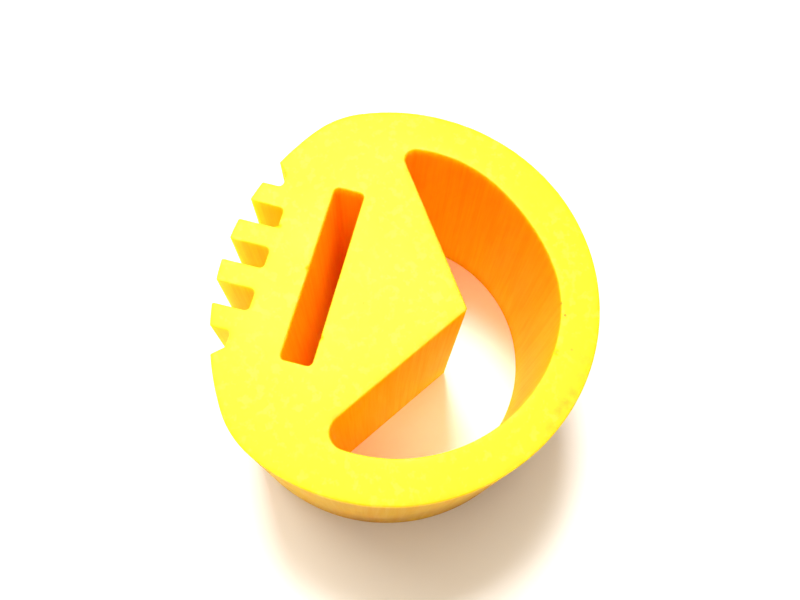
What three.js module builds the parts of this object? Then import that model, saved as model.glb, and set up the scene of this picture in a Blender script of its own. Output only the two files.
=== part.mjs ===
// A thick, round block of yellow cast polyurethane, cut straight through from face to face.
// One side carries a comb of square notches. Beside the comb is a narrow slot, and the rest
// is a ring round a D-shaped opening, with a blunt wedge nose pointing into the opening.
// Millimetres, +Z up. The origin is on the axis of the round, at the base face. The nose
// points along +X and the comb faces -X.
import * as THREE from "three";

// Round body
const bodyRadius = 50;
const thickness = 60;

// Comb side: a flatter arc that falls short of the round body
const combSideRadius = 66.5;
const combSideDrop = 8.4; // how far the comb side lies inside the round, on the X axis

// Comb
const toothCount = 4;
const toothWidth = 5.7;
const notchWidth = 5.5;
const notchDepth = 10.4; // from the middle of the comb side
const notchCornerRadius = 1.2;
const endNotchDepth = 8.1; // the notch past each end tooth is shallower
const endNotchFloor = 3.9; // length of its flat floor
const endNotchFlare = THREE.MathUtils.degToRad(42); // lean of its outer flank from the X axis

// Slot
const slotLand = 10.55; // material between the notch floors and the slot
const slotWidth = 7.65;
const slotLength = 46.2;
const slotCornerRadius = 1.2;

// Opening and nose
const ringWall = 9.3; // at the thinnest place, in front of the nose
const openingShift = 1.3; // of the opening's round wall, towards +X from the body's axis
const noseLength = 31.6; // from the slot to the tip
const noseHalfAngle = THREE.MathUtils.degToRad(55.3);
const noseTipRadius = 0.5;
const leftCornerRadius = 2.9; // where the nose's +Y flank meets the round wall
const rightCornerRadius = 4.0; // where its -Y flank does

// Fineness of the round stretches: how far a chord may lie inside its arc
const chordSag = 0.03;

// Places that follow from the sizes above
const combSideX = -(bodyRadius - combSideDrop);
const combSideCentreX = combSideX + combSideRadius;
const notchFloorX = combSideX + notchDepth;
const endFloorX = combSideX + endNotchDepth;
const toothPitch = toothWidth + notchWidth;
const combHalfHeight = (toothCount * toothWidth + (toothCount - 1) * notchWidth) / 2;
const slotOuterX = notchFloorX + slotLand;
const slotInnerX = slotOuterX + slotWidth;
const noseTipX = slotInnerX + noseLength;
const openingRadius = bodyRadius - ringWall - openingShift;

const point = (x, y) => new THREE.Vector2(x, y);
const angleOf = (v) => Math.atan2(v.y, v.x);

// Adds an arc's points, both ends included. It turns anticlockwise where `to` is above `from`.
function addArc(points, centre, radius, from, to) {
  const step = 2 * Math.acos(1 - chordSag / radius);
  const count = Math.max(2, Math.ceil(Math.abs(to - from) / step));
  for (let i = 0; i <= count; i++) {
    const angle = from + ((to - from) * i) / count;
    points.push(point(centre.x + radius * Math.cos(angle), centre.y + radius * Math.sin(angle)));
  }
}

// Adds a corner between two straight stretches, rounded by an arc that touches both.
function addRoundedCorner(points, before, corner, after, radius) {
  const back = before.clone().sub(corner).normalize();
  const ahead = after.clone().sub(corner).normalize();
  const halfAngle = Math.acos(back.dot(ahead)) / 2;
  const middle = back.clone().add(ahead).normalize();
  const centre = corner.clone().addScaledVector(middle, radius / Math.sin(halfAngle));
  const reach = radius / Math.tan(halfAngle);
  const start = angleOf(corner.clone().addScaledVector(back, reach).sub(centre));
  const end = angleOf(corner.clone().addScaledVector(ahead, reach).sub(centre));
  const turn = Math.atan2(Math.sin(end - start), Math.cos(end - start));
  addArc(points, centre, radius, start, start + turn);
}

// A point of the comb side at height y.
const onCombSide = (y) =>
  point(combSideCentreX - Math.sqrt(combSideRadius ** 2 - y ** 2), y);

// Adds the comb side's arc between two of its points, going from higher to lower y.
function addCombSide(points, upper, lower) {
  const centre = point(combSideCentreX, 0);
  const from = Math.PI - Math.asin(upper.y / combSideRadius);
  const to = Math.PI - Math.asin(lower.y / combSideRadius);
  addArc(points, centre, combSideRadius, from, to);
}

// The corner of the body where the comb side meets the round, on the +Y side.
function bodyCorner() {
  const reach = combSideCentreX;
  const x = (bodyRadius ** 2 - combSideRadius ** 2 + reach ** 2) / (2 * reach);
  return point(x, Math.sqrt(bodyRadius ** 2 - x ** 2));
}

// The comb's end notch on the +Y side, from its mouth inwards: mouth, floor corner, tooth corner.
function endNotchPath() {
  const toothFlank = combHalfHeight;
  const floorEnd = point(endFloorX, toothFlank + endNotchFloor);
  const lean = point(-Math.cos(endNotchFlare), Math.sin(endNotchFlare));
  const fromCentre = floorEnd.clone().sub(point(combSideCentreX, 0));
  const along = fromCentre.dot(lean);
  const distance = Math.sqrt(along ** 2 + combSideRadius ** 2 - fromCentre.lengthSq()) - along;
  const mouth = floorEnd.clone().addScaledVector(lean, distance);
  return [mouth, floorEnd, point(endFloorX, toothFlank), onCombSide(toothFlank)];
}

// Adds a notch: its two floor corners are rounded and its mouth's corners are sharp.
function addNotch(points, [mouthIn, floorIn, floorOut, mouthOut]) {
  points.push(mouthIn);
  addRoundedCorner(points, mouthIn, floorIn, floorOut, notchCornerRadius);
  addRoundedCorner(points, floorIn, floorOut, mouthOut, notchCornerRadius);
  points.push(mouthOut);
}

const mirrored = (path) => path.map((v) => point(v.x, -v.y)).reverse();

function bodyOutline() {
  const points = [];
  const corner = bodyCorner();
  const cornerAngle = angleOf(corner);
  addArc(points, point(0, 0), bodyRadius, -cornerAngle, cornerAngle);

  const upperEnd = endNotchPath();
  addCombSide(points, corner, upperEnd[0]);
  addNotch(points, upperEnd);
  let tip = upperEnd.at(-1);
  for (let i = 0; i < toothCount - 1; i++) {
    const top = combHalfHeight - toothWidth - i * toothPitch;
    const bottom = top - notchWidth;
    const notch = [
      onCombSide(top),
      point(notchFloorX, top),
      point(notchFloorX, bottom),
      onCombSide(bottom),
    ];
    addCombSide(points, tip, notch[0]);
    addNotch(points, notch);
    tip = notch.at(-1);
  }
  const lowerEnd = mirrored(upperEnd);
  addCombSide(points, tip, lowerEnd[0]);
  addNotch(points, lowerEnd);
  addCombSide(points, lowerEnd.at(-1), point(corner.x, -corner.y));
  return points;
}

function slotOutline() {
  const corners = [
    point(slotOuterX, -slotLength / 2),
    point(slotOuterX, slotLength / 2),
    point(slotInnerX, slotLength / 2),
    point(slotInnerX, -slotLength / 2),
  ];
  const points = [];
  corners.forEach((corner, i) => {
    const before = corners[(i + 3) % 4];
    const after = corners[(i + 1) % 4];
    addRoundedCorner(points, before, corner, after, slotCornerRadius);
  });
  return points;
}

// The rounded corner between the nose's flank and the opening's round wall, for one side
// (1 for +Y, -1 for -Y): its centre, which lies `radius` from both, and the two touching points.
function openingCorner(side, radius) {
  const flank = point(-Math.cos(noseHalfAngle), Math.sin(noseHalfAngle));
  const outward = point(Math.sin(noseHalfAngle), Math.cos(noseHalfAngle));
  const reach = noseTipX - openingShift;
  const half = reach * Math.cos(noseHalfAngle);
  const gap = reach ** 2 + 2 * reach * radius * Math.sin(noseHalfAngle);
  const along = half + Math.sqrt(half ** 2 - gap - 2 * openingRadius * radius + openingRadius ** 2);
  const centre = point(noseTipX, 0).addScaledVector(flank, along).addScaledVector(outward, radius);
  const onFlank = centre.clone().addScaledVector(outward, -radius);
  const away = centre.clone().sub(point(openingShift, 0)).normalize();
  const onWall = centre.clone().addScaledVector(away, radius);
  return [centre, onFlank, onWall].map((v) => point(v.x, side * v.y));
}

function openingOutline() {
  const points = [];
  const middle = point(openingShift, 0);
  const [leftCentre, leftFlank, leftWall] = openingCorner(1, leftCornerRadius);
  const [rightCentre, rightFlank, rightWall] = openingCorner(-1, rightCornerRadius);
  const wallFrom = angleOf(leftWall.clone().sub(middle));
  const wallTo = angleOf(rightWall.clone().sub(middle));
  const flankNormal = Math.PI / 2 - noseHalfAngle;
  // Clockwise: the round wall, the -Y corner, the nose's tip, and the +Y corner.
  addArc(points, middle, openingRadius, wallFrom, wallTo);
  addArc(points, rightCentre, rightCornerRadius, wallTo, -(flankNormal + Math.PI));
  addRoundedCorner(points, rightFlank, point(noseTipX, 0), leftFlank, noseTipRadius);
  addArc(points, leftCentre, leftCornerRadius, flankNormal + Math.PI, wallFrom);
  return points;
}

// Drops points that repeat the one before them.
function distinct(points) {
  const least = 1e-4;
  return points.filter((v, i) => v.distanceTo(points.at(i - 1)) > least);
}

function polyurethane() {
  return new THREE.MeshStandardMaterial({
    name: "yellow_polyurethane",
    color: 0xf7dc18,
    roughness: 0.55,
    metalness: 0,
  });
}

function wedgeBlock() {
  const shape = new THREE.Shape(distinct(bodyOutline()));
  shape.holes.push(new THREE.Path(distinct(slotOutline())));
  shape.holes.push(new THREE.Path(distinct(openingOutline())));
  const geometry = new THREE.ExtrudeGeometry(shape, { depth: thickness, bevelEnabled: false });
  const mesh = new THREE.Mesh(geometry, polyurethane());
  mesh.name = "wedge_block";
  return mesh;
}

const part = new THREE.Group();
part.add(wedgeBlock());

export default part;
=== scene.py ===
import math

import bmesh
import bpy
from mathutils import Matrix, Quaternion, Vector, noise
from mathutils.geometry import delaunay_2d_cdt
from mathutils.kdtree import KDTree


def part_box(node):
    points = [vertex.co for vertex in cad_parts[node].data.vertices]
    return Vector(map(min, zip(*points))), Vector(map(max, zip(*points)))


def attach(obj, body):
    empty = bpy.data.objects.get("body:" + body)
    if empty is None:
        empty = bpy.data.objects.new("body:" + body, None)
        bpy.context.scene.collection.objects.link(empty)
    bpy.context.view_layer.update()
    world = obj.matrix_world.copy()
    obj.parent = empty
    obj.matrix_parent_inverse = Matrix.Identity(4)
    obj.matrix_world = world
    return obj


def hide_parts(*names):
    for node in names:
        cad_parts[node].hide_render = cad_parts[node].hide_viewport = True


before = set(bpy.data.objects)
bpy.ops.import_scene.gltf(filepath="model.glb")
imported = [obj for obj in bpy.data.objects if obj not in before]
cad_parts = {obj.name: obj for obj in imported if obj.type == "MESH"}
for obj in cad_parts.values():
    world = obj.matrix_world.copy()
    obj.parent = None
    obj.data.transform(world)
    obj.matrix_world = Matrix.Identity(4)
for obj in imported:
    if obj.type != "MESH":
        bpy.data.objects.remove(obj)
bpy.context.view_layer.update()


# ---- The profile ---------------------------------------------------------------------------
# The felling wedge is one thick block of yellow cast polyurethane, cut straight through along
# three closed lines: the round body with its comb of notches, the slot beside the comb, and the
# D-shaped opening with the wedge nose in it. Each line is walked with the material on its left.
mm = 0.001
low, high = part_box("wedge_block")
thickness = high.z - low.z
body_radius = high.y
body_corner_ease = 23.0 * mm

comb_side_radius = 66.5 * mm
comb_side_drop = 8.4 * mm
comb_side_trim = 2  # points left off each end of a stretch of it, to keep clear of the corners
tooth_count = 4
tooth_width = 5.7 * mm
tooth_tip_ease = 0.5 * mm
notch_width = 5.5 * mm
notch_depth = 10.4 * mm
notch_floor_ease = 1.2 * mm
end_notch_depth = 8.1 * mm
end_notch_floor = 3.9 * mm
end_notch_flare = math.radians(42)

slot_land = 10.55 * mm
slot_width = 7.65 * mm
slot_length = 46.2 * mm
slot_corner_ease = 1.2 * mm

ring_wall = 9.3 * mm
opening_shift = 1.3 * mm
nose_length = 31.6 * mm
nose_half_angle = math.radians(55.3)
nose_tip_ease = 0.6 * mm
left_corner_ease = 2.9 * mm
right_corner_ease = 4.0 * mm

comb_side_x = comb_side_drop - body_radius
comb_side_centre = Vector((comb_side_x + comb_side_radius, 0))
notch_floor_x = comb_side_x + notch_depth
end_floor_x = comb_side_x + end_notch_depth
comb_half_height = (tooth_count * tooth_width + (tooth_count - 1) * notch_width) / 2
slot_outer_x = notch_floor_x + slot_land
slot_inner_x = slot_outer_x + slot_width
nose_tip = Vector((slot_inner_x + nose_length, 0))
opening_centre = Vector((opening_shift, 0))
opening_radius = body_radius - ring_wall - opening_shift

walking_step = 0.56 * mm  # the longest step along a line


def bearing(direction):
    return math.atan2(direction.y, direction.x)


def arc(centre, radius, start, end):
    """Points of an arc, both ends included. It turns anticlockwise where end is above start."""
    count = max(3, math.ceil(abs(end - start) * radius / walking_step))
    points = []
    for i in range(count + 1):
        angle = start + (end - start) * i / count
        points.append(centre + radius * Vector((math.cos(angle), math.sin(angle))))
    return points


def eased_corner(before, corner, after, ease):
    """The arc of radius ease that rounds a corner between two straight stretches."""
    back = (before - corner).normalized()
    ahead = (after - corner).normalized()
    half_angle = math.acos(back.dot(ahead)) / 2
    centre = corner + (back + ahead).normalized() * (ease / math.sin(half_angle))
    reach = ease / math.tan(half_angle)
    start = bearing(corner + back * reach - centre)
    end = bearing(corner + ahead * reach - centre)
    turn = math.atan2(math.sin(end - start), math.cos(end - start))
    return arc(centre, ease, start, start + turn)


def closed_line(stations):
    """A closed line from (point, ease) stations. A station with an ease is a rounded corner."""
    line = []
    for i, (point, ease) in enumerate(stations):
        if ease:
            before = stations[i - 1][0]
            after = stations[(i + 1) % len(stations)][0]
            line += eased_corner(before, point, after, ease)
        else:
            line.append(point)
    return line


def on_comb_side(y):
    return Vector((comb_side_centre.x - math.sqrt(comb_side_radius ** 2 - y ** 2), y))


def comb_side(upper, lower):
    """The comb side's arc between two heights, clear of the corners at its ends."""
    start = math.pi - math.asin(upper / comb_side_radius)
    end = math.pi - math.asin(lower / comb_side_radius)
    points = arc(comb_side_centre, comb_side_radius, start, end)
    return [(point, 0) for point in points[comb_side_trim:-comb_side_trim]]


def end_notch():
    """The shallow notch past the end tooth on the +Y side, from its flared mouth inwards."""
    floor_end = Vector((end_floor_x, comb_half_height + end_notch_floor))
    lean = Vector((-math.cos(end_notch_flare), math.sin(end_notch_flare)))
    from_centre = floor_end - comb_side_centre
    along = from_centre.dot(lean)
    reach = math.sqrt(along ** 2 + comb_side_radius ** 2 - from_centre.length_squared) - along
    return [
        (floor_end + lean * reach, tooth_tip_ease),
        (floor_end, notch_floor_ease),
        (Vector((end_floor_x, comb_half_height)), notch_floor_ease),
        (on_comb_side(comb_half_height), tooth_tip_ease),
    ]


def notch(top):
    """One square notch of the comb, from its upper corner at height top to its lower one."""
    bottom = top - notch_width
    return [
        (on_comb_side(top), tooth_tip_ease),
        (Vector((notch_floor_x, top)), notch_floor_ease),
        (Vector((notch_floor_x, bottom)), notch_floor_ease),
        (on_comb_side(bottom), tooth_tip_ease),
    ]


def body_line():
    # The easy bend between the round and the comb side touches both from inside.
    to_round = body_radius - body_corner_ease
    to_comb_side = comb_side_radius - body_corner_ease
    reach = comb_side_centre.x
    x = (to_round ** 2 - to_comb_side ** 2 + reach ** 2) / (2 * reach)
    bend = Vector((x, math.sqrt(to_round ** 2 - x ** 2)))
    round_end = bearing(bend)
    comb_start = bearing(bend - comb_side_centre)
    comb_top = comb_side_radius * math.sin(comb_start)

    upper_end = end_notch()
    lower_end = [(Vector((point.x, -point.y)), ease) for point, ease in reversed(upper_end)]
    notch_tops = [
        comb_half_height - tooth_width - i * (tooth_width + notch_width)
        for i in range(tooth_count - 1)
    ]
    upper_bend = arc(bend, body_corner_ease, round_end, comb_start)
    lower_bend = [Vector((point.x, -point.y)) for point in reversed(upper_bend)]
    round_side = arc(Vector((0, 0)), body_radius, -round_end, round_end)
    stations = [(point, 0) for point in round_side[1:-1] + upper_bend]
    last = comb_top
    for cut in [upper_end] + [notch(top) for top in notch_tops] + [lower_end]:
        stations += comb_side(last, cut[0][0].y)
        stations += cut
        last = cut[-1][0].y
    stations += comb_side(last, -comb_top)
    stations += [(point, 0) for point in lower_bend]
    return closed_line(stations)


def slot_line():
    half_length = slot_length / 2
    corners = [
        Vector((slot_outer_x, -half_length)),
        Vector((slot_outer_x, half_length)),
        Vector((slot_inner_x, half_length)),
        Vector((slot_inner_x, -half_length)),
    ]
    return closed_line([(corner, slot_corner_ease) for corner in corners])


def opening_corner(side, ease):
    """The rounded corner between the nose's flank and the round wall, for +Y (1) or -Y (-1)."""
    flank = Vector((-math.cos(nose_half_angle), math.sin(nose_half_angle)))
    outward = Vector((math.sin(nose_half_angle), math.cos(nose_half_angle)))
    reach = nose_tip.x - opening_shift
    half = reach * math.cos(nose_half_angle)
    gap = reach ** 2 + 2 * reach * ease * math.sin(nose_half_angle)
    room = opening_radius ** 2 - 2 * opening_radius * ease
    centre = nose_tip + flank * (half + math.sqrt(half ** 2 - gap + room)) + outward * ease
    on_flank = centre - outward * ease
    on_wall = centre + (centre - opening_centre).normalized() * ease
    return [Vector((point.x, side * point.y)) for point in (centre, on_flank, on_wall)]


def opening_line():
    left_centre, left_flank, left_wall = opening_corner(1, left_corner_ease)
    right_centre, right_flank, right_wall = opening_corner(-1, right_corner_ease)
    wall_from = bearing(left_wall - opening_centre)
    wall_to = bearing(right_wall - opening_centre)
    flank_normal = math.pi / 2 - nose_half_angle
    line = arc(opening_centre, opening_radius, wall_from, wall_to)
    line += arc(right_centre, right_corner_ease, wall_to, -(flank_normal + math.pi))
    line += eased_corner(right_flank, nose_tip, left_flank, nose_tip_ease)
    line += arc(left_centre, left_corner_ease, flank_normal + math.pi, wall_from)
    return line


# ---- The marks of use ----------------------------------------------------------------------
# Small chips where the cut breaks out at a rim, specks of dirt pressed into the polyurethane,
# and a scuffed, browned stretch along the outer rim. Each is listed with its place on the top
# face.
chips = [
    # place on the rim, radius, depth
    (Vector((-20.75, 0.2)) * mm, 0.75 * mm, 0.45 * mm),
    (Vector((-12.9, -15.8)) * mm, 0.6 * mm, 0.5 * mm),
    (Vector((-31.1, 9.1)) * mm, 0.7 * mm, 0.45 * mm),
    (Vector((41.0, -5.0)) * mm, 0.7 * mm, 0.5 * mm),
]
specks = [
    # place, radius, strength
    (Vector((39.9, 7.3)) * mm, 0.45 * mm, 1.0),
    (Vector((41.4, 4.5)) * mm, 0.42 * mm, 1.0),
    (Vector((44.35, -3.5)) * mm, 0.4 * mm, 0.5),
]
scuffs = [
    # place, radius, strength
    (Vector((47.6, -4.9)) * mm, 1.5 * mm, 0.2),
    (Vector((47.4, -9.4)) * mm, 1.3 * mm, 0.28),
    (Vector((46.2, -13.6)) * mm, 1.4 * mm, 0.4),
    (Vector((45.1, -16.6)) * mm, 1.5 * mm, 0.5),
    (Vector((44.0, -18.8)) * mm, 1.5 * mm, 0.42),
    (Vector((42.6, -22.6)) * mm, 1.4 * mm, 0.3),
]
speck_depth = 0.9 * mm
scuff_depth = 0.5 * mm
chip_soil_depth = 1.2 * mm
chip_soil_share = 0.8  # of the chip's radius
chip_soil_strength = 0.5
soil_marks = [(place, size, strength, speck_depth) for place, size, strength in specks]
soil_marks += [(place, size, strength, scuff_depth) for place, size, strength in scuffs]
soil_marks += [
    (place, chip_soil_share * size, chip_soil_strength, chip_soil_depth)
    for place, size, _ in chips
]
fine_step = 0.2 * mm
fine_reach = 0.6 * mm
fine_spread = 0.22  # growth of the step for each unit of length past that reach
whole_step_slack = 0.01


def step_at(point):
    """How far apart the mesh's points lie at a place: closer together near the small marks."""
    nearest = min((point - place).length for place, _, _ in chips + specks)
    return min(walking_step, fine_step + fine_spread * max(0, nearest - fine_reach))


def walked(line):
    """The same closed line with points added, so that no step is longer than step_at says."""
    points = []
    for i, point in enumerate(line):
        after = line[(i + 1) % len(line)]
        step = min(step_at(point), step_at(after), step_at((point + after) / 2))
        count = math.ceil((after - point).length / step - whole_step_slack)
        points += [point.lerp(after, k / count) for k in range(count)]
    return points


# ---- The cut walls -------------------------------------------------------------------------
# A thin high-pressure jet follows each line from the top face down. It leaves a straight wall
# with fine upright cut lines that trail back near the base, and both rims are slightly broken.
rim_break = 0.32 * mm
rim_break_change = 0.45  # share of the rim break
wall_rows = 45
rim_crowding = 2.35  # power by which the rows close up towards a rim
cut_line_depth = 0.035 * mm
cut_line_spacing = 1.7 * mm
cut_line_trail = 2.2 * mm
opening_lean = 1.5 * mm
opening_lean_from = math.radians(5)
opening_lean_to = math.radians(89)


def feed(tree, socket, value):
    """Joins a socket to another node's output, or sets it to a plain value."""
    if isinstance(value, bpy.types.NodeSocket):
        tree.links.new(value, socket)
    else:
        socket.default_value = value


def sum_node(tree, operation, *inputs):
    """One step of a sum in the tree: a Math node fed by numbers or by other nodes' outputs."""
    node = tree.nodes.new("ShaderNodeMath")
    node.operation = operation
    for socket, value in zip(node.inputs, inputs):
        feed(tree, socket, value)
    return node.outputs[0]


def place_node(tree, x, y, z):
    """A Combine XYZ node fed by numbers or by other nodes' outputs."""
    node = tree.nodes.new("ShaderNodeCombineXYZ")
    for socket, value in zip(node.inputs, (x, y, z)):
        feed(tree, socket, value)
    return node.outputs[0]


def kept_value(tree, geometry, name, kind, value):
    """Stores a value on the geometry's points under a name. Returns the new geometry."""
    node = tree.nodes.new("GeometryNodeStoreNamedAttribute")
    node.data_type = kind
    node.domain = "POINT"
    node.inputs["Name"].default_value = name
    tree.links.new(geometry, node.inputs["Geometry"])
    tree.links.new(value, node.inputs["Value"])
    return node.outputs["Geometry"]


def read_value(tree, name, kind):
    node = tree.nodes.new("GeometryNodeInputNamedAttribute")
    node.data_type = kind
    node.inputs["Name"].default_value = name
    return node.outputs["Attribute"]


def noise_value(tree, place, scale, detail):
    """Noise from -1 to 1 at a place."""
    node = tree.nodes.new("ShaderNodeTexNoise")
    node.inputs["Scale"].default_value = scale
    node.inputs["Detail"].default_value = detail
    tree.links.new(place, node.inputs["Vector"])
    return sum_node(tree, "MULTIPLY_ADD", node.outputs[0], 2.0, -1.0)


def jet_cut_tree():
    """Sweeps an upright wall along a closed line, with broken rims, cut lines and a lean."""
    tree = bpy.data.node_groups.new("jet_cut_wall", "GeometryNodeTree")
    sockets = tree.interface
    sockets.new_socket("Line", in_out="INPUT", socket_type="NodeSocketGeometry")
    for name in (
        "Thickness", "Rim Break", "Rim Break Change", "Rim Crowding", "Cut Line Depth",
        "Cut Line Spacing", "Cut Line Trail", "Lean", "Lean From", "Lean To", "Lean Centre X",
        "Lean Radius",
    ):
        sockets.new_socket(name, in_out="INPUT", socket_type="NodeSocketFloat")
    sockets.new_socket("Rows", in_out="INPUT", socket_type="NodeSocketInt")
    sockets.new_socket("Seed", in_out="INPUT", socket_type="NodeSocketInt")
    sockets.new_socket("Material", in_out="INPUT", socket_type="NodeSocketMaterial")
    sockets.new_socket("Wall", in_out="OUTPUT", socket_type="NodeSocketGeometry")
    size = tree.nodes.new("NodeGroupInput").outputs

    def step(operation, *inputs):
        return sum_node(tree, operation, *inputs)

    # On the line: where each point is, how far along it lies, and which way is out of the block.
    tangent = tree.nodes.new("GeometryNodeInputTangent")
    out = tree.nodes.new("ShaderNodeVectorMath")
    out.operation = "CROSS_PRODUCT"
    tree.links.new(tangent.outputs[0], out.inputs[0])
    out.inputs[1].default_value = (0, 0, 1)
    station = tree.nodes.new("GeometryNodeInputPosition")
    walk = tree.nodes.new("GeometryNodeSplineParameter")
    line = kept_value(tree, size["Line"], "on_line", "FLOAT_VECTOR", station.outputs[0])
    line = kept_value(tree, line, "out_of_block", "FLOAT_VECTOR", out.outputs[0])
    line = kept_value(tree, line, "along", "FLOAT", walk.outputs["Length"])

    # The upright: a straight run of points, each with its level from 0 at the base to 1.
    upright = tree.nodes.new("GeometryNodeCurvePrimitiveLine")
    upright.inputs["End"].default_value = (0, 1, 0)
    rows = tree.nodes.new("GeometryNodeResampleCurve")
    tree.links.new(upright.outputs[0], rows.inputs["Curve"])
    tree.links.new(size["Rows"], rows.inputs["Count"])
    rise = tree.nodes.new("GeometryNodeSplineParameter")
    levels = kept_value(tree, rows.outputs[0], "level", "FLOAT", rise.outputs["Factor"])
    sweep = tree.nodes.new("GeometryNodeCurveToMesh")
    tree.links.new(line, sweep.inputs["Curve"])
    tree.links.new(levels, sweep.inputs["Profile Curve"])

    # Height: the rows crowd together towards both rims.
    level = read_value(tree, "level", "FLOAT")
    along = read_value(tree, "along", "FLOAT")
    half = step("MULTIPLY", size["Thickness"], 0.5)
    swing = step("MULTIPLY_ADD", level, 2.0, -1.0)
    inner = step("SUBTRACT", 1.0, step("ABSOLUTE", swing))
    to_rim = step("MULTIPLY", half, step("POWER", inner, size["Rim Crowding"]))
    climb = step("MULTIPLY", step("SUBTRACT", half, to_rim), step("SIGN", swing))
    height = step("ADD", half, climb)

    # The broken rim: a quarter round whose radius changes a little along the line.
    rim_changes_per_metre = 450.0
    seed_spacing = 7.31
    seed_shift = step("MULTIPLY", size["Seed"], seed_spacing)
    side_shift = step("ADD", seed_shift, step("SIGN", swing))
    rim_place = place_node(tree, step("MULTIPLY", along, rim_changes_per_metre), side_shift, 0.0)
    rim_noise = noise_value(tree, rim_place, 1.0, 3.0)
    rim_change = step("MULTIPLY", rim_noise, size["Rim Break Change"])
    ease = step("MULTIPLY", size["Rim Break"], step("ADD", 1.0, rim_change))
    short = step("MAXIMUM", step("SUBTRACT", ease, to_rim), 0.0)
    square = step("SUBTRACT", step("MULTIPLY", ease, ease), step("MULTIPLY", short, short))
    inset = step("SUBTRACT", ease, step("SQRT", step("MAXIMUM", square, 0.0)))

    # Cut lines: upright ripples that trail back and deepen towards the base, where the jet leaves.
    ripple_changes_per_metre = 25.0
    least_ripple = 0.55
    ripple_growth = 0.9
    depth_below = step("SUBTRACT", 1.0, step("DIVIDE", height, size["Thickness"]))
    trail = step("MULTIPLY", step("MULTIPLY", depth_below, depth_below), size["Cut Line Trail"])
    ripple_at = step("DIVIDE", step("ADD", along, trail), size["Cut Line Spacing"])
    ripple_height = step("MULTIPLY", height, ripple_changes_per_metre)
    ripple = noise_value(tree, place_node(tree, ripple_at, ripple_height, seed_shift), 1.0, 2.0)
    deepening = step("MULTIPLY_ADD", depth_below, ripple_growth, least_ripple)
    ripple_depth = step("MULTIPLY", step("MULTIPLY", size["Cut Line Depth"], deepening), ripple)

    # The lean: over one stretch of the round wall the top stands further into the opening.
    spot = tree.nodes.new("ShaderNodeSeparateXYZ")
    tree.links.new(read_value(tree, "on_line", "FLOAT_VECTOR"), spot.inputs[0])
    across = step("SUBTRACT", spot.outputs["X"], size["Lean Centre X"])
    aside = spot.outputs["Y"]
    angle = step("ARCTAN2", aside, across)
    squares = step("MULTIPLY_ADD", across, across, step("MULTIPLY", aside, aside))
    round_tolerance = 0.99
    just_inside = step("MULTIPLY", size["Lean Radius"], round_tolerance)
    on_round = step("GREATER_THAN", step("SQRT", squares), just_inside)
    stretch = tree.nodes.new("ShaderNodeMapRange")
    tree.links.new(angle, stretch.inputs["Value"])
    tree.links.new(size["Lean From"], stretch.inputs["From Min"])
    tree.links.new(size["Lean To"], stretch.inputs["From Max"])
    stretch.inputs["To Max"].default_value = math.pi
    wave = step("SINE", stretch.outputs["Result"])
    rising = step("SUBTRACT", 1.0, depth_below)
    lean_share = step("MULTIPLY", step("MULTIPLY", wave, wave), rising)
    lean = step("MULTIPLY", step("MULTIPLY", size["Lean"], on_round), lean_share)

    shift = step("ADD", step("SUBTRACT", ripple_depth, inset), lean)
    sideways = tree.nodes.new("ShaderNodeVectorMath")
    sideways.operation = "SCALE"
    tree.links.new(read_value(tree, "out_of_block", "FLOAT_VECTOR"), sideways.inputs[0])
    tree.links.new(shift, sideways.inputs["Scale"])
    moved = tree.nodes.new("ShaderNodeVectorMath")
    tree.links.new(read_value(tree, "on_line", "FLOAT_VECTOR"), moved.inputs[0])
    tree.links.new(sideways.outputs[0], moved.inputs[1])
    raised = tree.nodes.new("ShaderNodeVectorMath")
    tree.links.new(moved.outputs[0], raised.inputs[0])
    tree.links.new(place_node(tree, 0.0, 0.0, height), raised.inputs[1])
    placed = tree.nodes.new("GeometryNodeSetPosition")
    tree.links.new(sweep.outputs[0], placed.inputs["Geometry"])
    tree.links.new(raised.outputs[0], placed.inputs["Position"])

    outward = tree.nodes.new("GeometryNodeFlipFaces")
    tree.links.new(placed.outputs[0], outward.inputs["Mesh"])
    wall = outward.outputs[0]
    for name in ("on_line", "out_of_block", "along", "level"):
        dropped = tree.nodes.new("GeometryNodeRemoveAttribute")
        dropped.inputs["Name"].default_value = name
        tree.links.new(wall, dropped.inputs["Geometry"])
        wall = dropped.outputs[0]
    whole = tree.nodes.new("GeometryNodeRealizeInstances")
    tree.links.new(wall, whole.inputs["Geometry"])
    coloured = tree.nodes.new("GeometryNodeSetMaterial")
    tree.links.new(whole.outputs[0], coloured.inputs["Geometry"])
    tree.links.new(size["Material"], coloured.inputs["Material"])
    result = tree.nodes.new("NodeGroupOutput")
    tree.links.new(coloured.outputs[0], result.inputs["Wall"])
    return tree


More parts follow.
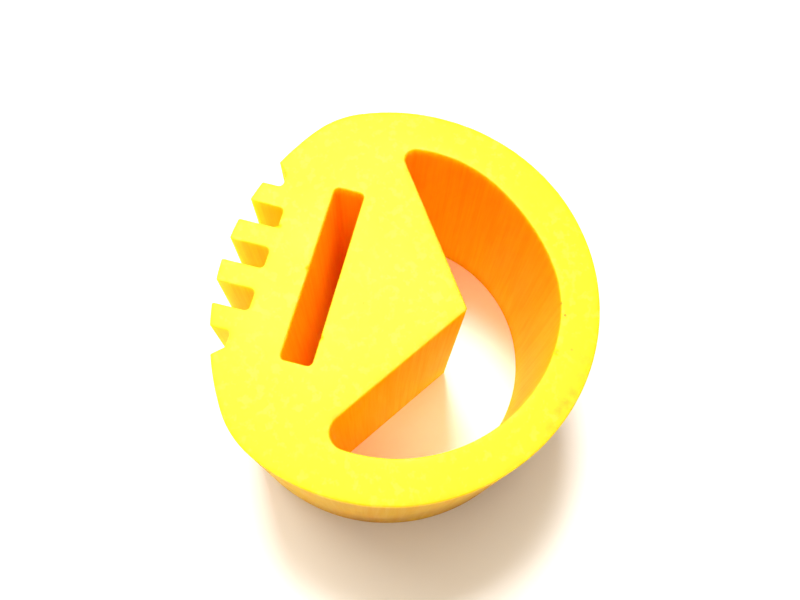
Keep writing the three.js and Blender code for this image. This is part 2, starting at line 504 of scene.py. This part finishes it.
def cut_wall(name, line, tree, material, seed, lean=0.0):
    """Runs the tree along one closed line. Returns the wall as a plain mesh."""
    curve = bpy.data.curves.new(name, "CURVE")
    curve.dimensions = "3D"
    spline = curve.splines.new("POLY")
    spline.points.add(len(line) - 1)
    for point, station in zip(spline.points, line):
        point.co = (station.x, station.y, 0, 1)
    spline.use_cyclic_u = True
    path = bpy.data.objects.new(name, curve)
    bpy.context.scene.collection.objects.link(path)
    cutter = path.modifiers.new("jet_cut_wall", "NODES")
    cutter.node_group = tree
    sizes = {
        "Thickness": thickness,
        "Rim Break": rim_break,
        "Rim Break Change": rim_break_change,
        "Rim Crowding": rim_crowding,
        "Cut Line Depth": cut_line_depth,
        "Cut Line Spacing": cut_line_spacing,
        "Cut Line Trail": cut_line_trail,
        "Lean": lean,
        "Lean From": opening_lean_from,
        "Lean To": opening_lean_to,
        "Lean Centre X": opening_shift,
        "Lean Radius": opening_radius,
        "Rows": wall_rows,
        "Seed": seed,
        "Material": material,
    }
    for socket in tree.interface.items_tree:
        if socket.in_out == "INPUT" and socket.name in sizes:
            cutter[socket.identifier] = sizes[socket.name]
    bpy.context.view_layer.update()
    evaluated = path.evaluated_get(bpy.context.evaluated_depsgraph_get())
    mesh = bpy.data.meshes.new_from_object(evaluated)
    bpy.data.objects.remove(path)
    return mesh


# ---- The polyurethane ----------------------------------------------------------------------
# Cast polyurethane, coloured right through with a warm yellow. The moulded faces are satin with
# faint clouds and pin-head pores; the cut walls are duller, with upright lines from the jet.
yellow = (0.985, 0.56, 0.004, 1)
pale_cloud = (0.99, 0.58, 0.0065, 1)
cut_yellow = (0.985, 0.61, 0.004, 1)
cut_amber = (0.955, 0.53, 0.003, 1)
# painted shade: the amber that darkens the outer round wall, most near the base
painted_shade_amber = (0.44, 0.185, 0.03, 1)
# painted highlight: the paler yellow laid along the rims
rim_highlight_yellow = (0.99, 0.6, 0.05, 1)
soil_brown = (0.06, 0.036, 0.003, 1)
pore_amber = (0.62, 0.27, 0.003, 1)

# Patterns, in units to the metre.
clouds_across = 75
grain_across = 1500
pores_across = 210
wide_lines_across = 620
wide_lines_up = 14
fine_lines_across = 2100
fine_lines_up = 40
shade_blotches_across = 38
shade_blotches_up = 30
highlight_stretches_across = 420
soil_grit_across = 900

relief_height = 0.12 * mm
relief_strength = 0.55
glow_reach = (12 * mm, 7 * mm, 0.5 * mm)  # of red, green and blue light under the surface


class Shop:
    """Adds and joins the material's nodes, so that each finish below reads as one line."""

    def __init__(self, material):
        material.use_nodes = True
        self.tree = material.node_tree
        self.place = self.node("ShaderNodeTexCoord").outputs["Object"]

    def node(self, kind, **settings):
        node = self.tree.nodes.new(kind)
        for name, value in settings.items():
            setattr(node, name, value)
        return node

    def feed(self, socket, value):
        feed(self.tree, socket, value)

    def sum(self, operation, *inputs):
        return sum_node(self.tree, operation, *inputs)

    def stretched(self, across, up=None):
        """The place on the block, scaled across it and, where up is given, by that along Z."""
        node = self.node("ShaderNodeMapping")
        self.feed(node.inputs["Vector"], self.place)
        node.inputs["Scale"].default_value = (across, across, across if up is None else up)
        return node.outputs[0]

    def noise(self, place, detail, roughness=0.55):
        node = self.node("ShaderNodeTexNoise")
        self.feed(node.inputs["Vector"], place)
        node.inputs["Scale"].default_value = 1.0
        node.inputs["Detail"].default_value = detail
        node.inputs["Roughness"].default_value = roughness
        return node.outputs[0]

    def ramp(self, value, start, end, low=0.0, high=1.0):
        """A smooth climb from low to high as the value goes from start to end."""
        node = self.node("ShaderNodeMapRange", interpolation_type="SMOOTHSTEP")
        self.feed(node.inputs["Value"], value)
        node.inputs["From Min"].default_value = start
        node.inputs["From Max"].default_value = end
        node.inputs["To Min"].default_value = low
        node.inputs["To Max"].default_value = high
        return node.outputs["Result"]

    def mix(self, share, under, over):
        node = self.node("ShaderNodeMix", data_type="RGBA")
        self.feed(node.inputs["Factor"], share)
        colours = [socket for socket in node.inputs if socket.type == "RGBA"]
        self.feed(colours[0], under)
        self.feed(colours[1], over)
        return next(socket for socket in node.outputs if socket.type == "RGBA")

    def blend(self, share, under, over):
        """The same mix for plain numbers."""
        node = self.node("ShaderNodeMix", data_type="FLOAT")
        self.feed(node.inputs["Factor"], share)
        self.feed(node.inputs["A"], under)
        self.feed(node.inputs["B"], over)
        return node.outputs["Result"]


def polyurethane():
    material = bpy.data.materials.new("yellow_polyurethane")
    shop = Shop(material)
    surface = shop.tree.nodes["Principled BSDF"]

    # Face or wall: how far the place lies from the nearer face.
    parts = shop.node("ShaderNodeSeparateXYZ")
    shop.feed(parts.inputs[0], shop.place)
    height = parts.outputs["Z"]
    from_middle = shop.sum("ABSOLUTE", shop.sum("SUBTRACT", height, thickness / 2))
    below_face = shop.sum("SUBTRACT", thickness / 2, from_middle)
    on_wall = shop.ramp(below_face, 0.2 * mm, 0.55 * mm)

    # Moulded face: clouds some 13 mm across, a fine satin grain, and a pore in one cell of five.
    clouds = shop.noise(shop.stretched(clouds_across), 5.0)
    grain = shop.noise(shop.stretched(grain_across), 3.0)
    pore_cells = shop.node("ShaderNodeTexVoronoi", feature="F1")
    shop.feed(pore_cells.inputs["Vector"], shop.stretched(pores_across))
    pore_cells.inputs["Scale"].default_value = 1.0
    pick = shop.node("ShaderNodeSeparateColor")
    shop.feed(pick.inputs[0], pore_cells.outputs["Color"])
    pore = shop.sum(
        "MULTIPLY",
        shop.ramp(pore_cells.outputs["Distance"], 0.03, 0.06, 1.0, 0.0),
        shop.ramp(pick.outputs[0], 0.8, 0.82),
    )
    face_colour = shop.mix(shop.ramp(clouds, 0.38, 0.66), yellow, pale_cloud)

    # Cut wall: upright jet lines of two spacings, duller and a little darker in their grooves.
    wide_lines = shop.noise(shop.stretched(wide_lines_across, wide_lines_up), 3.0)
    fine_lines = shop.noise(shop.stretched(fine_lines_across, fine_lines_up), 3.0, 0.65)
    lines_mixed = shop.blend(0.45, wide_lines, fine_lines)
    wall_colour = shop.mix(shop.ramp(lines_mixed, 0.36, 0.62), cut_amber, cut_yellow)

    # Painted shade: the outer round wall is darkened to amber in blotches, most near the base and
    # fading out below the top rim.
    away = shop.node("ShaderNodeVectorMath", operation="LENGTH")
    shop.feed(away.inputs[0], shop.stretched(1, 0))
    outer = shop.ramp(away.outputs["Value"], body_radius - 6 * mm, body_radius - 0.6 * mm)
    shade_blotch_noise = shop.noise(shop.stretched(shade_blotches_across, shade_blotches_up), 6.0, 0.6)
    shade_blotches = shop.ramp(shade_blotch_noise, 0.25, 0.75, 0.62, 1.0)
    clear_of_rim = shop.ramp(height, thickness - 5 * mm, thickness - 0.5 * mm, 1.0, 0.0)
    near_base = shop.ramp(height, 0.0, thickness, 1.0, 0.55)
    outer_wall_shade = shop.sum("MULTIPLY", shop.sum("MULTIPLY", outer, clear_of_rim), shade_blotches)
    outer_wall_shade = shop.sum("MULTIPLY", outer_wall_shade, near_base)
    wall_colour = shop.mix(outer_wall_shade, wall_colour, painted_shade_amber)

    # Rims: a painted highlight, paler in short stretches along the rims just below the faces.
    highlight_stretches = shop.ramp(shop.noise(shop.stretched(highlight_stretches_across), 3.0), 0.5, 0.66)
    at_rim = shop.ramp(below_face, 0.12 * mm, 0.75 * mm, 1.0, 0.0)
    off_face = shop.ramp(below_face, 0.0, 0.05 * mm)
    painted_rim_highlight = shop.sum("MULTIPLY", shop.sum("MULTIPLY", at_rim, off_face), highlight_stretches)

    # Soil: pressed in where the marks of use say, broken up by a fine noise.
    soil = shop.node("ShaderNodeAttribute", attribute_name="soil").outputs["Fac"]
    grit = shop.noise(shop.stretched(soil_grit_across), 4.0, 0.7)
    broken = shop.ramp(grit, 0.34, 0.62, 0.35, 1.0)
    soiled = shop.sum("MULTIPLY", soil, broken)

    colour = shop.mix(on_wall, face_colour, wall_colour)
    # painted highlight along the rims
    colour = shop.mix(shop.sum("MULTIPLY", painted_rim_highlight, 0.7), colour, rim_highlight_yellow)
    colour = shop.mix(shop.sum("MULTIPLY", pore, 0.55), colour, pore_amber)
    colour = shop.mix(soiled, colour, soil_brown)
    shop.feed(surface.inputs["Base Color"], colour)

    face_rough = shop.ramp(shop.blend(0.4, clouds, grain), 0.3, 0.7, 0.42, 0.5)
    wall_rough = shop.ramp(lines_mixed, 0.3, 0.7, 0.76, 0.64)
    roughness = shop.blend(on_wall, face_rough, wall_rough)
    shop.feed(surface.inputs["Roughness"], shop.sum("MULTIPLY_ADD", soiled, 0.2, roughness))

    face_relief = shop.sum("SUBTRACT", shop.sum("MULTIPLY", grain, 0.35), pore)
    relief = shop.blend(on_wall, face_relief, lines_mixed)
    bump = shop.node("ShaderNodeBump")
    bump.inputs["Strength"].default_value = relief_strength
    bump.inputs["Distance"].default_value = relief_height
    shop.feed(bump.inputs["Height"], relief)
    shop.feed(surface.inputs["Normal"], bump.outputs["Normal"])

    surface.inputs["Specular IOR Level"].default_value = 0.19
    surface.inputs["Subsurface Weight"].default_value = 1.0
    surface.inputs["Subsurface Radius"].default_value = glow_reach
    surface.inputs["Subsurface Scale"].default_value = 1.0
    return material


# ---- The block -----------------------------------------------------------------------------
# The block itself: the three cut walls, closed by the two moulded faces into one solid with no
# seam. Its faces are not quite flat, its rims are chipped in places, and dirt has settled there.
face_grid = 1.35 * mm
face_margin = 0.62 * mm
face_swell = 0.09 * mm
face_swell_depth = 4 * mm
row_share = 0.866  # of the grid, from one row of even triangles to the next
mark_clearance = 2.2  # in a mark's radii, kept free of the grid
mark_rings = 8
mark_ring_share = 0.27  # of a mark's radius, from one ring of points to the next
mark_margin = 0.7 * fine_step
soil_depth = 2.5 * mm
soil_spread = 1.6  # in a mark's radii
soil_fading = 2.2
pu = polyurethane()
jet_cut = jet_cut_tree()
lines = {
    "body": walked(body_line()),
    "slot": walked(slot_line()),
    "opening": walked(opening_line()),
}
walls = [
    cut_wall("body_wall", lines["body"], jet_cut, pu, 1),
    cut_wall("slot_wall", lines["slot"], jet_cut, pu, 2),
    cut_wall("opening_wall", lines["opening"], jet_cut, pu, 3, opening_lean),
]


def rim_vertices(block, height):
    """The vertices on the walls' open edge at a height."""
    level_tolerance = 0.001 * mm
    found = set()
    for edge in block.edges:
        if edge.is_boundary and abs(edge.verts[0].co.z - height) < level_tolerance:
            found.update(edge.verts)
    return list(found)


def face_points(block, rim):
    """Points spread over a face inside the rims: a triangle grid, finer near small marks."""
    tree = KDTree(len(rim))
    outward = []
    for i, vertex in enumerate(rim):
        tree.insert(vertex.co.xy.to_3d(), i)
        outward.append(vertex.normal.xy)
    tree.balance()

    def inside(point, margin):
        _, nearest, distance = tree.find(point.to_3d())
        return distance > margin and (point - rim[nearest].co.xy).dot(outward[nearest]) < 0

    points = []
    corner = Vector((body_radius, body_radius))
    rows = math.ceil(2 * body_radius / (face_grid * row_share))
    columns = math.ceil(2 * body_radius / face_grid)
    marks = chips + specks
    for j in range(rows):
        for i in range(columns):
            shift = 0.5 if j % 2 else 0.0
            place = Vector(((i + shift) * face_grid, j * face_grid * row_share)) - corner
            clear = all((place - spot).length > size * mark_clearance for spot, size, _ in marks)
            if clear and inside(place, face_margin):
                points.append(place)
    for spot, size, _ in marks:
        for ring in range(1, mark_rings + 1):
            radius = ring * size * mark_ring_share
            count = 6 * ring
            for k in range(count):
                angle = 2 * math.pi * (k + 0.5 * (ring % 2)) / count
                place = spot + radius * Vector((math.cos(angle), math.sin(angle)))
                if inside(place, mark_margin):
                    points.append(place)
    return points


def close_face(block, height, top):
    """Fills the face at a height between its rims. Its faces look up if top, otherwise down."""
    rim = rim_vertices(block, height)
    index = {vertex: i for i, vertex in enumerate(rim)}
    rim_set = set(rim)
    edges = [
        (index[edge.verts[0]], index[edge.verts[1]])
        for edge in block.edges
        if edge.is_boundary and edge.verts[0] in rim_set and edge.verts[1] in rim_set
    ]
    inner = face_points(block, rim)
    places = [vertex.co.xy for vertex in rim] + inner
    weld = 0.0001 * mm
    found, _, triangles, _, _, _ = delaunay_2d_cdt(places, edges, [], 1, weld)
    if len(found) != len(places):
        raise RuntimeError("two points of a face coincide, or two rims cross")
    vertices = rim + [block.verts.new((place.x, place.y, height)) for place in inner]
    for triangle in within_rims([tuple(t) for t in triangles], edges, len(rim)):
        corners = [vertices[i] for i in triangle]
        block.faces.new(corners if top else reversed(corners))


def within_rims(triangles, rim_edges, rim_count):
    """The triangles of the face itself: those reached from inside it without crossing a rim."""
    crossed = {frozenset(edge) for edge in rim_edges}
    beside = {}
    for triangle in triangles:
        for i, corner in enumerate(triangle):
            beside.setdefault(frozenset((corner, triangle[i - 1])), []).append(triangle)
    waiting = [triangle for triangle in triangles if max(triangle) >= rim_count]
    reached = set(waiting)
    while waiting:
        triangle = waiting.pop()
        for i, corner in enumerate(triangle):
            side = frozenset((corner, triangle[i - 1]))
            for other in beside[side]:
                if side not in crossed and other not in reached:
                    reached.add(other)
                    waiting.append(other)
    return [triangle for triangle in triangles if triangle in reached]


def break_chips(block):
    """Pushes the top rim in and down where it is chipped, with a rough floor to each chip."""
    rim_depth = 0.6 * mm
    bowl_power = 0.8
    grit = 0.25 * mm
    top_rim = [vertex for vertex in block.verts if vertex.co.z > thickness - rim_depth]
    tree = KDTree(len(top_rim))
    for i, vertex in enumerate(top_rim):
        tree.insert(vertex.co, i)
    tree.balance()
    block.normal_update()
    for spot, size, depth in chips:
        middle = Vector((spot.x, spot.y, thickness))
        _, nearest, _ = tree.find(middle)
        inwards = -(top_rim[nearest].normal + Vector((0, 0, 0.5))).normalized()
        for place, i, distance in tree.find_range(middle, size):
            share = (1 - (distance / size) ** 2) ** bowl_power
            rough = 0.75 + 0.5 * noise.noise(place / grit)
            top_rim[i].co = place + inwards * (depth * share * rough)


def face_shift(place):
    """How far a place near a face moved outwards as the face settled: mostly less than 0."""
    wide_swell = 11 * mm
    small_swell = 4 * mm
    to_face = min(place.z, thickness - place.z)
    flow = max(0.0, 1 - to_face / face_swell_depth)
    swell = noise.noise(place / wide_swell) + 0.5 * noise.noise(place / small_swell)
    return face_swell * (swell - 1) * flow ** 2 / 2


def soil_at(place):
    """How strongly dirt shows at a place near the top face, from 0 to 1."""
    depth = thickness - place.z
    soil = 0.0
    for spot, size, strength, reach in soil_marks:
        distance = (place.xy - spot).length / size
        if distance < soil_spread:
            share = math.exp(-soil_fading * distance ** 2) * math.exp(-depth / reach)
            soil = max(soil, strength * share)
    return soil


def wear_block(block):
    """Breaks the chips out of the rims, writes the soil layer and settles the moulded faces."""
    break_chips(block)
    soil = block.verts.layers.float.new("soil")
    for vertex in block.verts:
        shift = face_shift(vertex.co)
        if vertex.co.z > thickness - soil_depth:
            vertex[soil] = soil_at(vertex.co)
        vertex.co.z += shift if vertex.co.z > thickness / 2 else -shift


block = bmesh.new()
for wall in walls:
    block.from_mesh(wall)
    bpy.data.meshes.remove(wall)
block.normal_update()
close_face(block, thickness, True)
close_face(block, 0.0, False)
wear_block(block)
for face in block.faces:
    face.smooth = True
mesh = bpy.data.meshes.new("polyurethane_block")
block.to_mesh(mesh)
block.free()
piece = bpy.data.objects.new("polyurethane_block", mesh)
bpy.context.scene.collection.objects.link(piece)
mesh.materials.append(pu)
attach(piece, "root")
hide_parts("wedge_block")


# ---- The floor -----------------------------------------------------------------------------
# A wide sheet of white card. It lies a hair below the block, so that the two don't touch in
# one plane.
floor_mesh = bpy.data.meshes.new("floor")
floor_reach = 1.5
floor_height = low.z - 0.05 * mm
corners = [(-1, -1), (1, -1), (1, 1), (-1, 1)]
floor_places = [(x * floor_reach, y * floor_reach, floor_height) for x, y in corners]
floor_mesh.from_pydata(floor_places, [], [(0, 1, 2, 3)])
floor_material = bpy.data.materials.new("white_board")
floor_material.use_nodes = True
paper = floor_material.node_tree.nodes["Principled BSDF"]
paper.inputs["Base Color"].default_value = (0.91, 0.91, 0.91, 1)
paper.inputs["Roughness"].default_value = 0.8
floor_mesh.materials.append(floor_material)
floor = bpy.data.objects.new("floor", floor_mesh)
bpy.context.scene.collection.objects.link(floor)


# ---- The light -----------------------------------------------------------------------------
# Soft boxes: a small key light high behind the block, a wide one overhead, a low one beyond the
# comb, a weak fill in front, and a low strip that faces the comb. Together they are bright
# enough to wash out the white card and the block's top face.
def soft_box(name, azimuth, elevation, distance, width, height, strength, colour):
    """A light aimed at the block. Its strength is how bright it makes a white sheet facing it."""
    light = bpy.data.lights.new(name, "AREA")
    light.shape = "RECTANGLE"
    light.size = width
    light.size_y = height
    light.color = colour
    light.energy = strength * math.pi ** 2 * distance ** 2
    box = bpy.data.objects.new(name, light)
    bpy.context.scene.collection.objects.link(box)
    turn = math.radians(azimuth)
    tilt = math.radians(elevation)
    level = math.cos(tilt) * distance
    place = Vector((math.cos(turn) * level, math.sin(turn) * level, math.sin(tilt) * distance))
    box.location = place + Vector((0, 0, thickness / 2))
    box.rotation_euler = place.to_track_quat("Z", "Y").to_euler()
    box.visible_camera = False


soft_boxes = [
    # name, azimuth, elevation, distance, width, height, strength, colour
    ("key_light", 116, 67, 1.0, 0.2, 0.2, 1.05, (1, 1, 1)),
    ("wide_light", 112, 83, 1.0, 0.85, 0.85, 0.85, (1, 0.93, 0.76)),
    ("low_light", 152, 40, 1.0, 0.5, 0.4, 0.36, (1, 0.95, 0.85)),
    ("fill_light", -75, 46, 1.0, 1.2, 0.6, 0.12, (1, 0.8, 0.5)),
    ("side_card", 205, 0, 0.5, 0.5, 0.05, 0.45, (1, 0.95, 0.85)),
]
for row in soft_boxes:
    soft_box(*row)

# The world lights the block as a weak warm sky, and shows as a plain pale backdrop.
world = bpy.data.worlds.new("studio")
bpy.context.scene.world = world
world.use_nodes = True
sky = world.node_tree.nodes["Background"]
sky.inputs["Color"].default_value = (1, 0.45, 0.14, 1)
sky.inputs["Strength"].default_value = 0.13
backdrop = world.node_tree.nodes.new("ShaderNodeBackground")
backdrop.inputs["Color"].default_value = (0.95, 0.93, 0.9, 1)
seen = world.node_tree.nodes.new("ShaderNodeLightPath")
either = world.node_tree.nodes.new("ShaderNodeMixShader")
world.node_tree.links.new(seen.outputs["Is Camera Ray"], either.inputs[0])
world.node_tree.links.new(sky.outputs[0], either.inputs[1])
world.node_tree.links.new(backdrop.outputs[0], either.inputs[2])
world.node_tree.links.new(either.outputs[0], world.node_tree.nodes["World Output"].inputs[0])

# Light passes from yellow wall to yellow wall many times, which is what turns them orange.
bpy.context.scene.view_settings.view_transform = "Standard"
bpy.context.scene.cycles.diffuse_bounces = 14
bpy.context.scene.cycles.max_bounces = 16


# ---- The camera ----------------------------------------------------------------------------
# It stands in front of the block and above it and looks at the top face, near its middle. It is
# rolled a little about its own line of sight.
camera_place = Vector((11.84, -61.08, 221.75)) * mm
looks_at = Vector((2.53, -2.02, 60)) * mm
roll = math.radians(5.80)
camera_data = bpy.data.cameras.new("camera")
camera_data.sensor_width = 36
camera_data.lens = 32.69
camera_data.clip_start = 0.01
camera = bpy.data.objects.new("camera", camera_data)
bpy.context.scene.collection.objects.link(camera)
level_view = (camera_place - looks_at).to_track_quat("Z", "Y")
camera.location = camera_place
camera.rotation_euler = (level_view @ Quaternion((0, 0, 1), roll)).to_euler()
bpy.context.scene.camera = camera
